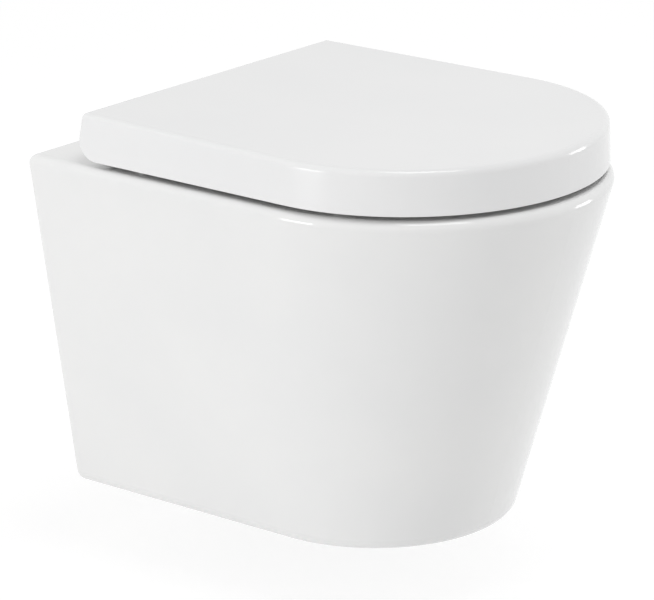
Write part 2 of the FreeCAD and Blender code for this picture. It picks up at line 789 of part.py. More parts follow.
def side_profile(inset, low, high):
    """The lid seen from the side, pulled right across it: round at the lower back corner."""
    reach = size("lid_width")
    y, z = size(AXIS_Y), size(AXIS_Z)
    radius = size("lid_barrel_radius") - inset
    far = -size("lid_front") - reach
    half = math.sqrt(0.5) * radius
    low_corner = V(-reach, y, z - radius)
    back_corner = V(-reach, y + radius, z)
    back_top = V(-reach, y + radius, high)
    front_top = V(-reach, far, high)
    front_low = V(-reach, far, low)
    under = V(-reach, y, low)
    edges = [Part.Arc(low_corner, V(-reach, y + half, z - half), back_corner).toShape()]
    edges += [Part.makeLine(first, second) for first, second in (
        (back_corner, back_top), (back_top, front_top), (front_top, front_low), (front_low, under),
    )]
    if abs(under.z - low_corner.z) > NEAR:
        edges.append(Part.makeLine(under, low_corner))
    return Part.Face(Part.Wire(edges)).extrude(V(2 * reach, 0, 0))


def lid():
    low = size("deck_height + lid_gap")
    high = low + size("lid_height")
    outside = Part.makeLoft([lid_outline(low), lid_outline(high)], True, True)
    outside = softened(
        "lid", outside,
        (size("lid_edge_radius"), level_edges(outside, high)),
        (size("lid_corner_radius"), upright_edges(outside, -size("lid_back"))),
    )
    outside = outside.common(side_profile(0.0, low, high + PAST))

    wall, under = size("lid_wall"), high - size("lid_top_thickness")
    below = low - size("lid_wall")
    inside = Part.makeLoft([lid_outline(z, wall) for z in (below, under)], True, True)
    inside = inside.common(side_profile(wall, below, under))
    shell = outside.cut(inside)

    knuckle_inner = size(SEAT_KNUCKLE[0]) - size("hinge_notch_side")
    notch_outer = size(LID_LUG[0])
    axis_y, axis_z = size(AXIS_Y), size(AXIS_Z)
    for side in SIDES.values():
        first = min(side * knuckle_inner, side * notch_outer)
        notch = Part.makeBox(
            notch_outer - knuckle_inner, size("lid_barrel_radius") + PAST, under - below, V(first, axis_y, below)
        )
        shell = shell.cut(notch)
        lug_start = min(side * size(LID_LUG[0]), side * size(LID_LUG[1]))
        lug_length = size("lug_length")
        radius = size("hinge_radius")
        eye = Part.makeCylinder(radius, lug_length, V(lug_start, axis_y, axis_z), V(1, 0, 0))
        stalk = Part.makeBox(lug_length, 2 * radius, under - axis_z + PAST, V(lug_start, axis_y - radius, axis_z))
        shell = shell.fuse([eye, stalk])
    bores = [
        along_axis(size("rotor_radius"), size(LID_LUG[0]), size(f"{LID_LUG[0]} + knuckle_reach"), LEFT),
        along_axis(size("pin_radius"), size(LID_LUG[0]), size(f"{LID_LUG[0]} + knuckle_reach"), RIGHT),
    ]
    return shell.cut(bores).removeSplitter()


def along_axis(radius, start, end, side):
    """A cylinder on the hinge axis, for the free-form pieces' own bores."""
    first = start if side == RIGHT else -end
    return Part.makeCylinder(radius, end - start, V(first, size(AXIS_Y), size(AXIS_Z)), V(1, 0, 0))


free_form("lid", lid())

# ---------------------------------------------------------------- seat ring


def seat():
    low = size("deck_height + seat_underside")
    high = low + size("seat_thickness")
    half_width = size(SEAT_HALF)
    rear = size(AXIS_Y) - size("seat_rear_gap")
    outline = bay(half_width, half_width, rear, -size("lid_side_length"), -size(SEAT_FRONT), low)
    ring = Part.Face(outline).extrude(V(0, 0, high - low))
    ring = ring.makeFillet(size("seat_corner_radius"), upright_edges(ring, rear))
    ring = ring.makeFillet(size("seat_outer_radius"), level_edges(ring, high))
    opening = egg(
        size("opening_width / 2"), -size("opening_back"), -size("opening_widest"), -size("opening_front"), low - PAST
    )
    ring = ring.cut(Part.Face(opening).extrude(V(0, 0, high - low + 2 * PAST)))
    inner = [e for e in level_edges(ring, high) if e.BoundBox.YMin > -size("opening_front") - NEAR]
    inner = [e for e in inner if e.BoundBox.YMax < -size("opening_back") + NEAR]
    inner = [e for e in inner if max(abs(e.BoundBox.XMin), e.BoundBox.XMax) < size("opening_width / 2") + NEAR]
    ring = ring.makeFillet(size("seat_inner_radius"), inner)

    axis_y, axis_z, radius = size(AXIS_Y), size(AXIS_Z), size("hinge_radius")
    start, end = size(SEAT_KNUCKLE[0]), size(SEAT_KNUCKLE[1])
    overlap = size("seat_corner_radius")
    for side in SIDES.values():
        first = min(side * start, side * end)
        eye = Part.makeCylinder(radius, end - start, V(first, axis_y, axis_z), V(1, 0, 0))
        arm = Part.makeBox(
            end - start, axis_y - rear + overlap, radius + high - axis_z,
            V(first, rear - overlap, axis_z - radius),
        )
        ring = ring.fuse([eye, arm])
    reach = size("knuckle_reach")
    ring = ring.cut([
        along_axis(size("pin_radius"), end - reach, end + PAST, LEFT),
        along_axis(size("rotor_radius"), end - reach, end + PAST, RIGHT),
    ])
    stems = [
        Part.makeCylinder(size("buffer_stem_radius"), size("buffer_stem_length"), V(size(x), size(y), low))
        for x, y in seat_buffer_places()
    ]
    return ring.cut(stems).removeSplitter()


def seat_buffer_places():
    """Where the four seat buffers stand on the pan's rim."""
    half = f"({SEAT_HALF} - seat_buffer_inset)"
    backs = ("seat_buffer_front", "seat_buffer_back")
    return [(f"{side} * {half}", f"-{back}") for side in SIDES.values() for back in backs]


def lid_buffer_places():
    """Where the four lid buffers meet the seat."""
    rows = (("lid_buffer_front_inset", "lid_buffer_front"), ("lid_buffer_back_inset", "lid_buffer_back"))
    return [(f"{side} * ({SEAT_HALF} - {inset})", f"-{back}") for side in SIDES.values() for inset, back in rows]


def seat_buffer(number, x, y):
    """A rubber foot from the deck up to the seat's underside, with a stem pushed into the seat."""
    foot = cylinder(f"seat_buffer_foot_{number}", "buffer_radius", "seat_underside", x, y, DECK)
    stem = cylinder(
        f"seat_buffer_stem_{number}", "buffer_stem_radius - running_play", "buffer_stem_length - running_play",
        x, y, "deck_height + seat_underside",
    )
    return fuse(f"seat_buffer_{number}", foot, stem)


def lid_buffer(number, x, y):
    """A rubber pad on the lid's underside, which meets the seat when the lid is down."""
    seat_top = "(deck_height + seat_underside + seat_thickness + lid_buffer_play)"
    under = "(deck_height + lid_gap + lid_height - lid_top_thickness)"
    return cylinder(f"lid_buffer_{number}", "lid_buffer_radius", f"{under} - {seat_top}", x, y, seat_top)


def joined(name, make, places):
    """One node that holds a row of equal, separate pieces."""
    group = doc.addObject("Part::Compound", name)
    group.Links = [make(number, *place) for number, place in enumerate(places, start=1)]
    return node(name, group)


free_form("seat", seat())
joined("seat_buffers", seat_buffer, seat_buffer_places())
joined("lid_buffers", lid_buffer, lid_buffer_places())

# ---------------------------------------------------------------- check and write
doc.recompute()
for item in doc.Objects:
    if "Invalid" in item.State or "Error" in item.State:
        raise RuntimeError(f"{item.Label}: {item.State}")
os.makedirs("parts", exist_ok=True)
for name, item in nodes.items():
    shape = item.Shape
    if shape.isNull() or not shape.isValid() or not shape.Solids:
        raise RuntimeError(f"{name} has no valid solid")
    shape.exportStep(f"parts/{name}.step")
    print(f"{name}: {len(shape.Solids)} solid, {shape.Volume / 1000:.1f} cm3")
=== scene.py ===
"""A wall hung toilet: glazed china pan, wrap-over lid and seat, lift-off hinges and hidden fixings.

Everything is in metres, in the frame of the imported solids: +Z up, the user facing -Y, the wall at y = 0.
"""
import json
import logging
import math
from dataclasses import dataclass
from enum import Enum

import bmesh
import bpy
from mathutils import Matrix, Vector


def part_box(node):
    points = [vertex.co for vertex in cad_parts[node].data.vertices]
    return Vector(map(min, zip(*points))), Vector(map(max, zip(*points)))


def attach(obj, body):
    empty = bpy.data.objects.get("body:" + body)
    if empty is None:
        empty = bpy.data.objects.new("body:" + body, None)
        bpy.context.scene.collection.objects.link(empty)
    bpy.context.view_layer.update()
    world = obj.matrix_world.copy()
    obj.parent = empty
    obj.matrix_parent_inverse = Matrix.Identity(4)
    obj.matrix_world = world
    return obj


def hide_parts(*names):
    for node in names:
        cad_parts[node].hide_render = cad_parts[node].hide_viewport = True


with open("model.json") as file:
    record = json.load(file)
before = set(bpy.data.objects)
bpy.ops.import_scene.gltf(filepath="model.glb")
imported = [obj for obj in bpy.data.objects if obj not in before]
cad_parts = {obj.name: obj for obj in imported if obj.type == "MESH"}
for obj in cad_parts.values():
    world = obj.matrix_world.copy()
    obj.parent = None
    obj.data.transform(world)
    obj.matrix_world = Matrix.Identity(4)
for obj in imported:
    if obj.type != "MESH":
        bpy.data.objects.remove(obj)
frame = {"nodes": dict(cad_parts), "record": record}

MM = 0.001
LOG = logging.getLogger("wall_hung_toilet")
Profile = list[tuple[float, float]]

# a mix node has its number sockets first and its colour sockets last
MIX_NUMBERS = (2, 3)
MIX_COLOURS = (6, 7)
MIX_COLOUR_OUT = 2


class Side(Enum):
    """The two sides of the object, by the sign of x."""

    LEFT = -1
    RIGHT = 1

    @property
    def place(self) -> str:
        """The word that ends the names of this side's nodes."""
        return self.name.lower()


# ---------------------------------------------------------------- shader trees


class Tree:
    """A short way to add nodes and links to one node tree."""

    def __init__(self, tree: bpy.types.NodeTree) -> None:
        """Start from an empty tree.

        Args:
            tree: the tree of a material, world or node group.
        """
        self.tree = tree
        tree.nodes.clear()

    def add(self, kind: str, inputs: dict | None = None, **settings: object) -> bpy.types.Node:
        """Add a node, set its options and fill or link its inputs.

        Args:
            kind: the node's type name.
            inputs: values or output sockets, by input name or number.
            **settings: plain properties of the node.

        Returns:
            The new node.
        """
        node = self.tree.nodes.new(kind)
        for name, value in settings.items():
            setattr(node, name, value)
        for key, value in (inputs or {}).items():
            if isinstance(value, bpy.types.NodeSocket):
                self.tree.links.new(value, node.inputs[key])
            else:
                node.inputs[key].default_value = value
        return node

    def mix_colour(self, factor: bpy.types.NodeSocket, first: object, second: object) -> bpy.types.NodeSocket:
        """Mix two colours.

        Args:
            factor: the share of the second colour.
            first: the colour, or its socket, at factor 0.
            second: the colour, or its socket, at factor 1.

        Returns:
            The mixed colour.
        """
        inputs = {"Factor": factor, MIX_COLOURS[0]: first, MIX_COLOURS[1]: second}
        return self.add("ShaderNodeMix", inputs, data_type="RGBA").outputs[MIX_COLOUR_OUT]

    def seen_by(self, *kinds: str) -> bpy.types.NodeSocket:
        """Tell some kinds of ray from the rest.

        Args:
            *kinds: the outputs of the light path to join.

        Returns:
            A mask of 1 for these rays and 0 for the others.
        """
        rays = self.add("ShaderNodeLightPath").outputs
        mask = rays[kinds[0]]
        for kind in kinds[1:]:
            mask = self.add("ShaderNodeMath", {0: mask, 1: rays[kind]}, operation="MAXIMUM").outputs[0]
        return mask


def surface_group() -> bpy.types.NodeTree:
    """The shared unevenness of moulded and glazed skins.

    Returns:
        A group that mixes two tones, spreads the roughness and waves the normal, all on object coordinates.
    """
    group = bpy.data.node_groups.new("uneven_skin", "ShaderNodeTree")
    numbers = {
        "Patch size": 0.08, "Low roughness": 0.1, "High roughness": 0.2,
        "Wave size": 0.05, "Wave height": 0.0, "Grain size": 0.002, "Grain height": 0.0,
    }
    for name in ("Tone", "Other tone"):
        group.interface.new_socket(name, in_out="INPUT", socket_type="NodeSocketColor")
    for name, value in numbers.items():
        socket = group.interface.new_socket(name, in_out="INPUT", socket_type="NodeSocketFloat")
        socket.default_value = value
    group.interface.new_socket("Color", in_out="OUTPUT", socket_type="NodeSocketColor")
    group.interface.new_socket("Roughness", in_out="OUTPUT", socket_type="NodeSocketFloat")
    group.interface.new_socket("Normal", in_out="OUTPUT", socket_type="NodeSocketVector")

    tone_low, tone_high = 0.35, 0.65
    gloss_low, gloss_high = 0.3, 0.7
    tree = Tree(group)
    given = tree.add("NodeGroupInput").outputs
    place = tree.add("ShaderNodeTexCoord").outputs["Object"]

    def noise(size: str, detail: float) -> bpy.types.NodeSocket:
        """Make noise with blobs of a given size.

        Args:
            size: the input that holds the blobs' size in metres.
            detail: how many finer layers the noise has.

        Returns:
            The noise's value.
        """
        scale = tree.add("ShaderNodeMath", {0: 1.0, 1: given[size]}, operation="DIVIDE")
        blobs = {"Vector": place, "Scale": scale.outputs[0], "Detail": detail}
        return tree.add("ShaderNodeTexNoise", blobs).outputs[0]

    patches = noise("Patch size", detail=3.0)
    spread = tree.add("ShaderNodeMapRange", {"Value": patches, "From Min": tone_low, "From Max": tone_high})
    tone = tree.mix_colour(spread.outputs[0], given["Tone"], given["Other tone"])
    roughness = tree.add("ShaderNodeMapRange", {
        "Value": patches, "From Min": gloss_low, "From Max": gloss_high,
        "To Min": given["Low roughness"], "To Max": given["High roughness"],
    })
    waves = tree.add("ShaderNodeBump", {
        "Strength": 1.0, "Distance": given["Wave height"], "Height": noise("Wave size", detail=0.0),
    })
    grain = tree.add("ShaderNodeBump", {
        "Strength": 1.0, "Distance": given["Grain height"], "Height": noise("Grain size", detail=2.0),
        "Normal": waves.outputs[0],
    })
    tree.add("NodeGroupOutput", {
        "Color": tone, "Roughness": roughness.outputs[0], "Normal": grain.outputs[0],
    })
    return group


def bare_clay_group() -> bpy.types.NodeTree:
    """A mask for the ground, unglazed face that meets the wall.

    Returns:
        A group whose Mask is 1 where the china touches the wall and 0 on the glaze.
    """
    group = bpy.data.node_groups.new("bare_clay", "ShaderNodeTree")
    group.interface.new_socket("Mask", in_out="OUTPUT", socket_type="NodeSocketFloat")
    grains_per_metre, raggedness, clay_depth = 400.0, 1.2 * MM, 0.8 * MM
    tree = Tree(group)
    place = tree.add("ShaderNodeTexCoord").outputs["Object"]
    depth = tree.add("ShaderNodeSeparateXYZ", {0: place}).outputs[1]
    blobs = {"Vector": place, "Scale": grains_per_metre, "Detail": 2.0}
    ragged = tree.add("ShaderNodeTexNoise", blobs).outputs[0]
    uneven = tree.add("ShaderNodeMath", {0: ragged, 1: raggedness, 2: depth}, operation="MULTIPLY_ADD")
    mask = tree.add("ShaderNodeMapRange", {
        "Value": uneven.outputs[0], "From Min": -clay_depth, "From Max": 0.0, "To Min": 0.0, "To Max": 1.0,
    })
    tree.add("NodeGroupOutput", {"Mask": mask.outputs[0]})
    return group


# ---------------------------------------------------------------- finishes


@dataclass(frozen=True)
class Finish:
    """One material, with its tone, gloss and unevenness in real sizes."""

    slot: str
    tone: tuple[float, float, float]
    other_tone: tuple[float, float, float]
    roughness: tuple[float, float]
    metallic: float = 0.0
    ior: float = 1.5
    coat: float = 0.0
    coat_roughness: float = 0.03
    patch_size: float = 0.08
    wave_size: float = 0.06
    wave_height: float = 0.0
    grain_size: float = 0.002
    grain_height: float = 0.0

    def skin(self, tree: Tree) -> bpy.types.Node:
        """Place the shared unevenness with this finish's values.

        Args:
            tree: the material's tree.

        Returns:
            The group node.
        """
        node = tree.add("ShaderNodeGroup", node_tree=bpy.data.node_groups["uneven_skin"])
        values = {
            "Tone": (*self.tone, 1.0), "Other tone": (*self.other_tone, 1.0),
            "Patch size": self.patch_size,
            "Low roughness": self.roughness[0], "High roughness": self.roughness[1],
            "Wave size": self.wave_size, "Wave height": self.wave_height,
            "Grain size": self.grain_size, "Grain height": self.grain_height,
        }
        for name, value in values.items():
            node.inputs[name].default_value = value
        return node

    def shader(self, tree: Tree) -> bpy.types.Node:
        """The material's own shader, with what is even over the surface set on its sockets."""
        return tree.add("ShaderNodeBsdfPrincipled", {
            "Metallic": self.metallic, "IOR": self.ior,
            "Coat Weight": self.coat, "Coat Roughness": self.coat_roughness,
        })

    def material(self) -> bpy.types.Material:
        """Make the material.

        Returns:
            A material named after its slot.
        """
        material = bpy.data.materials.new(self.slot)
        material.use_nodes = True
        tree = Tree(material.node_tree)
        skin = self.skin(tree)
        shader = self.shader(tree)
        for name, output in (("Base Color", "Color"), ("Roughness", "Roughness"), ("Normal", "Normal")):
            tree.tree.links.new(skin.outputs[output], shader.inputs[name])
        tree.add("ShaderNodeOutputMaterial", {0: shader.outputs[0]})
        return material


@dataclass(frozen=True)
class Glaze(Finish):
    """White glaze over china, which is ground off where the pan meets the wall."""

    clay: tuple[float, float, float] = (0.80, 0.77, 0.71)
    clay_roughness: float = 0.85

    def material(self) -> bpy.types.Material:
        """Make the glazed material with its bare rear face.

        Returns:
            A material named after its slot.
        """
        material = bpy.data.materials.new(self.slot)
        material.use_nodes = True
        tree = Tree(material.node_tree)
        skin = self.skin(tree)
        bare = tree.add("ShaderNodeGroup", node_tree=bpy.data.node_groups["bare_clay"]).outputs[0]
        shader = self.shader(tree)
        tone = tree.mix_colour(bare, skin.outputs["Color"], (*self.clay, 1.0))
        rough = tree.add("ShaderNodeMix", {
            "Factor": bare, MIX_NUMBERS[0]: skin.outputs["Roughness"], MIX_NUMBERS[1]: self.clay_roughness,
        })
        tree.tree.links.new(tone, shader.inputs["Base Color"])
        tree.tree.links.new(rough.outputs[0], shader.inputs["Roughness"])
        tree.tree.links.new(skin.outputs["Normal"], shader.inputs["Normal"])
        tree.add("ShaderNodeOutputMaterial", {0: shader.outputs[0]})
        return material


FINISHES = (
    Glaze(
        "china", (0.905, 0.905, 0.90), (0.885, 0.887, 0.885), (0.05, 0.10), ior=1.52,
        patch_size=0.12, wave_size=0.07, wave_height=0.00006, grain_size=0.004, grain_height=0.000003,
    ),
    Finish(
        "lid_white", (0.895, 0.895, 0.895), (0.88, 0.882, 0.884), (0.10, 0.16), ior=1.52,
        patch_size=0.10, wave_size=0.09, wave_height=0.00003, grain_size=0.0015, grain_height=0.0000012,
    ),
    Finish(
        "seat_white", (0.895, 0.895, 0.895), (0.88, 0.882, 0.884), (0.10, 0.16), ior=1.52,
        patch_size=0.10, wave_size=0.09, wave_height=0.00003, grain_size=0.0015, grain_height=0.0000012,
    ),
    Finish(
        "buffer_white", (0.80, 0.80, 0.79), (0.76, 0.76, 0.75), (0.55, 0.70),
        patch_size=0.006, grain_size=0.0006, grain_height=0.00002,
    ),
    Finish(
        "rubber", (0.030, 0.030, 0.031), (0.045, 0.044, 0.043), (0.60, 0.80),
        patch_size=0.008, grain_size=0.0006, grain_height=0.00003,
    ),
    Finish(
        "hinge_grey", (0.70, 0.70, 0.70), (0.66, 0.66, 0.665), (0.28, 0.38),
        patch_size=0.02, grain_size=0.0008, grain_height=0.000008,
    ),
    Finish(
        "button_grey", (0.34, 0.345, 0.35), (0.30, 0.305, 0.31), (0.42, 0.55),
        patch_size=0.01, grain_size=0.0007, grain_height=0.000015,
    ),
    Finish(
        "damper_black", (0.022, 0.022, 0.023), (0.032, 0.032, 0.032), (0.35, 0.50),
        patch_size=0.01, grain_size=0.0006, grain_height=0.00001,
    ),
    Finish(
        "satin_steel", (0.58, 0.575, 0.57), (0.50, 0.50, 0.50), (0.22, 0.36), metallic=1.0,
        patch_size=0.004, grain_size=0.0004, grain_height=0.000006,
    ),
    Finish(
        "zinc_steel", (0.62, 0.63, 0.65), (0.54, 0.55, 0.56), (0.25, 0.42), metallic=1.0,
        patch_size=0.006, grain_size=0.0005, grain_height=0.00001,
    ),
    Finish(
        "nylon", (0.82, 0.82, 0.77), (0.78, 0.78, 0.73), (0.40, 0.52),
        patch_size=0.02, grain_size=0.001, grain_height=0.00001,
    ),
)


@dataclass
class Paintwork:
    """Makes every finish once and gives it to solids and new pieces."""

    materials: dict[str, bpy.types.Material]

    @classmethod
    def make(cls) -> "Paintwork":
        """Build the shared groups and all the finishes."""
        surface_group()
        bare_clay_group()
        return cls({finish.slot: finish.material() for finish in FINISHES})

    def dress_solids(self) -> None:
        """Give each solid of the frame the finish of its slot."""
        for part in frame["record"]["subparts"]:
            mesh = frame["nodes"][part["node"]].data
            mesh.materials.clear()
            mesh.materials.append(self.materials[part["material_slot"]])

    def dress(self, piece: bpy.types.Object, slot: str) -> None:
        """Give a new piece its finish.

        Args:
            piece: the piece.
            slot: the record's material slot.
        """
        piece.data.materials.clear()
        piece.data.materials.append(self.materials[slot])


# ---------------------------------------------------------------- small parts


def made(work: bmesh.types.BMesh, name: str, sharp_degrees: float = 35.0) -> bpy.types.Object:
    """Turn a finished bmesh into an object with closed seams and outward faces.

    Args:
        work: the bmesh, which is freed.
        name: the piece's name.
        sharp_degrees: edges that turn more than this stay crisp.

    Returns:
        The new object, at the origin.
    """
    bmesh.ops.remove_doubles(work, verts=work.verts, dist=1e-6)
    bmesh.ops.recalc_face_normals(work, faces=work.faces)
    mesh = bpy.data.meshes.new(name)
    work.to_mesh(mesh)
    work.free()
    mesh.shade_smooth()
    mesh.set_sharp_from_angle(angle=math.radians(sharp_degrees))
    piece = bpy.data.objects.new(name, mesh)
    bpy.context.collection.objects.link(piece)
    return piece


def lathe(work: bmesh.types.BMesh, profile: Profile, centre: Vector, steps: int) -> None:
    """Turn a profile about a vertical axis.

    Args:
        work: the bmesh to add to.
        profile: radius and height pairs, from the axis out and back to it.
        centre: the point of the axis at height 0.
        steps: how many segments go round.
    """
    points = [work.verts.new(centre + Vector((radius, 0, height))) for radius, height in profile]
    edges = [work.edges.new(pair) for pair in zip(points, points[1:])]
    bmesh.ops.spin(
        work, geom=points + edges, cent=centre, axis=(0, 0, 1), dvec=(0, 0, 0),
        angle=math.tau, steps=steps, use_merge=True,
    )


def rounded(profile: Profile, radius: float, corners: set[int]) -> Profile:
    """Cut chosen corners of a profile twice, which gives them a soft edge.

    Args:
        profile: radius and height pairs.
        radius: how far back from the corner the softening starts.
        corners: the numbers of the corners to soften.

    Returns:
        The profile with two points in place of each chosen corner, and one between them.
    """
    soft = []
    for number, point in enumerate(profile):
        if number not in corners:
            soft.append(point)
            continue
        here = Vector(point)
        before = here + (Vector(profile[number - 1]) - here).normalized() * radius
        after = here + (Vector(profile[number + 1]) - here).normalized() * radius
        middle = (before + after) / 4 + here / 2
        soft += [tuple(before), tuple(middle), tuple(after)]
    return soft


def thread(work: bmesh.types.BMesh, centre: Vector, radius: float, pitch: float, length: float) -> None:
    """Wind a thread's ridge up a shank.

    Args:
        work: the bmesh to add to.
        centre: the point of the axis where the thread starts.
        radius: the thread's outer radius.
        pitch: the rise of one turn.
        length: the threaded length.
    """
    round_steps = 20
    turns = int(length / pitch)
    depth, half_tooth = pitch / 2, pitch / 2.4
    tooth = ((-depth, -half_tooth), (0.0, 0.0), (-depth, half_tooth))
    points = [work.verts.new(centre + Vector((radius + out, 0, up + pitch / 2))) for out, up in tooth]
    face = work.faces.new(points)
    bmesh.ops.spin(
        work, geom=[face, *face.edges, *points], cent=centre, axis=(0, 0, 1),
        dvec=(0, 0, pitch / round_steps), angle=math.tau * turns, steps=turns * round_steps, use_merge=False,
    )


def hex_socket(piece: bpy.types.Object, centre: Vector, across_corners: float, depth: float) -> None:
    """Sink a six-sided key socket into the top of a screw's head.

    Args:
        piece: the screw.
        centre: the middle of the head's top.
        across_corners: the socket's size over its corners.
        depth: how deep it goes.
    """
    work = bmesh.new()
    radius = across_corners / 2
    bmesh.ops.create_cone(work, cap_ends=True, segments=6, radius1=radius, radius2=radius, depth=2 * depth)
    bmesh.ops.translate(work, verts=work.verts, vec=centre)
    key = made(work, f"{piece.name}_key")
    cutter = piece.modifiers.new("socket", "BOOLEAN")
    cutter.operation = "DIFFERENCE"
    cutter.solver = "EXACT"
    cutter.object = key
    bpy.context.view_layer.update()
    sunk = bpy.data.meshes.new_from_object(piece.evaluated_get(bpy.context.evaluated_depsgraph_get()))
    piece.modifiers.clear()
    piece.data = sunk
    bpy.data.objects.remove(key)


def islands(node: str) -> list[tuple[Vector, Vector]]:
    """The boxes of the separate solids that one node of the frame holds.

    Args:
        node: the node's name.

    Returns:
        The lowest and highest corner of each solid, in a steady order.
    """
    work = bmesh.new()
    work.from_mesh(frame["nodes"][node].data)
    bmesh.ops.remove_doubles(work, verts=work.verts, dist=1e-6)
    left = set(work.verts)
    boxes = []
    while left:
        group, queue = set(), [left.pop()]
        while queue:
            vert = queue.pop()
            group.add(vert)
            near = {edge.other_vert(vert) for edge in vert.link_edges} & left
            left -= near
            queue += near
        low = Vector(min(vert.co[axis] for vert in group) for axis in range(3))
        high = Vector(max(vert.co[axis] for vert in group) for axis in range(3))
        boxes.append((low, high))
    work.free()
    return sorted(boxes, key=lambda box: (round(box[0].x, 4), round(box[0].y, 4)))


@dataclass
class SmallPart:
    """What the small parts share: their paint, their body and the node that each replaces."""

    paint: "Paintwork"
    body: str = "pan"
    round_steps: int = 40
    soft_degrees: float = 50.0

    @staticmethod
    def stand(low: Vector, high: Vector) -> Vector:
        """The middle of the bottom of a box.

        Args:
            low: the box's lowest corner.
            high: its highest corner.

        Returns:
            The point where a turned part's axis leaves the bottom.
        """
        return Vector(((low.x + high.x) / 2, (low.y + high.y) / 2, low.z))

    def place(self, piece: bpy.types.Object, node: str, slot: str) -> None:
        """Put a piece in its node's place.

        Args:
            piece: the new piece.
            node: the node of the frame that it stands for.
            slot: its material slot.
        """
        self.paint.dress(piece, slot)
        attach(piece, self.body)
        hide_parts(node)
        LOG.info("%s replaces %s", piece.name, node)


@dataclass(frozen=True)
class ScrewSize:
    """What a screw's box doesn't give: its slot, and its shank's, head's, thread's and tip's sizes."""

    slot: str
    radius: float
    head_height: float
    pitch: float
    tip: float = 0.0


@dataclass
class SocketScrews(SmallPart):
    """The screws: a round head with a key socket on a threaded shank."""

    round_steps: int = 48
    edge: float = 0.5 * MM
    socket_depth: float = 2.3 * MM
    socket_corners: float = 5.77 * MM
    threaded_share: float = 0.82
    fixing: ScrewSize = ScrewSize("satin_steel", radius=3.0 * MM, head_height=3.6 * MM, pitch=1.0 * MM)
    clamp: ScrewSize = ScrewSize(
        "zinc_steel", radius=4.0 * MM, head_height=8.0 * MM, pitch=1.25 * MM, tip=4.0 * MM
    )

    def screw(self, node: str, size: ScrewSize) -> None:
        """Make one screw in its node's place.

        Args:
            node: the node to replace.
            size: the screw's slot and sizes.
        """
        low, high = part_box(node)
        centre = self.stand(low, high)
        head_radius, length = (high.x - low.x) / 2, high.z - low.z
        core, shoulder = size.radius - size.pitch / 2, length - size.head_height
        tip_radius = core / 3 if size.tip else core - self.edge
        thread_start = size.tip or self.edge
        profile = [
            (0.0, 0.0), (tip_radius, 0.0), (core, thread_start), (core, shoulder),
            (head_radius, shoulder), (head_radius, length), (0.0, length),
        ]
        head_edge = 5
        work = bmesh.new()
        lathe(work, rounded(profile, self.edge, {head_edge}), centre, self.round_steps)
        foot = centre + Vector((0, 0, thread_start))
        thread(work, foot, size.radius, size.pitch, self.threaded_share * shoulder)
        screw = made(work, f"{node}_threaded")
        hex_socket(screw, centre + Vector((0, 0, length)), self.socket_corners, self.socket_depth)
        self.place(screw, node, size.slot)

    def build(self) -> None:
        """Make the seat's fixing screws and the wall clamps' screws."""
        for side in Side:
            self.screw(f"fixing_screw_{side.place}", self.fixing)
            self.screw(f"clamp_screw_{side.place}", self.clamp)


@dataclass
class ExpansionPlugs(SmallPart):
    """The rubber plugs with grip ribs, which grip the china when their nuts are drawn up."""

    bore: float = 3.3 * MM
    rib_pitch: float = 2.0 * MM
    rib_depth: float = 0.5 * MM
    crown_start: float = 0.25
    crown_end: float = 0.6
    rib_end: float = 0.85

    def build(self) -> None:
        """Make a ribbed plug on each side."""
        for side in Side:
            node = f"expansion_plug_{side.place}"
            low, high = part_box(node)
            radius, length = (high.x - low.x) / 2, high.z - low.z
            groove = radius - self.rib_depth
            ribs = int(length / self.rib_pitch)
            rise = length / ribs
            profile = [(self.bore, 0.0)]
            for number in range(ribs):
                foot = number * rise
                profile += [
                    (groove, foot), (radius, foot + self.crown_start * rise),
                    (radius, foot + self.crown_end * rise), (groove, foot + self.rib_end * rise),
                ]
            profile += [(groove, length), (self.bore, length), (self.bore, 0.0)]
            work = bmesh.new()
            lathe(work, profile, self.stand(low, high), self.round_steps)
            self.place(made(work, f"{node}_ribbed", self.soft_degrees), node, "rubber")


@dataclass
class Buffers(SmallPart):
    """The soft feet under the seat and under the lid, with rounded rims and a dimple."""

    rim: float = 1.4 * MM
    dimple_radius: float = 3.0 * MM
    dimple_depth: float = 0.5 * MM
    stem_radius: float = 2.95 * MM

    def puck(self, work: bmesh.types.BMesh, low: Vector, high: Vector, stem: float) -> None:
        """Add one foot: a rounded puck, with a stem above it where the box has one.

        Args:
            work: the bmesh to add to.
            low: the lowest corner of the foot's box.
            high: the highest corner.
            stem: the stem's length.
        """
        radius, height = (high.x - low.x) / 2, high.z - low.z - stem
        rim = min(self.rim, height / 3)
        profile = [
            (0.0, self.dimple_depth), (self.dimple_radius, self.dimple_depth),
            (self.dimple_radius + rim, 0.0), (radius, 0.0), (radius, height),
        ]
        foot_edge = 3
        profile += [(self.stem_radius, height), (self.stem_radius, height + stem)] if stem else []
        profile.append((0.0, height + stem))
        lathe(work, rounded(profile, rim, {foot_edge}), self.stand(low, high), self.round_steps)

    def row(self, node: str, name: str, stem: float) -> None:
        """Make a node's row of feet.

        Args:
            node: the node to replace.
            name: the new piece's name.
            stem: the stems' length.
        """
        work = bmesh.new()
        for low, high in islands(node):
            self.puck(work, low, high, stem)
        self.place(made(work, name, self.soft_degrees), node, "buffer_white")


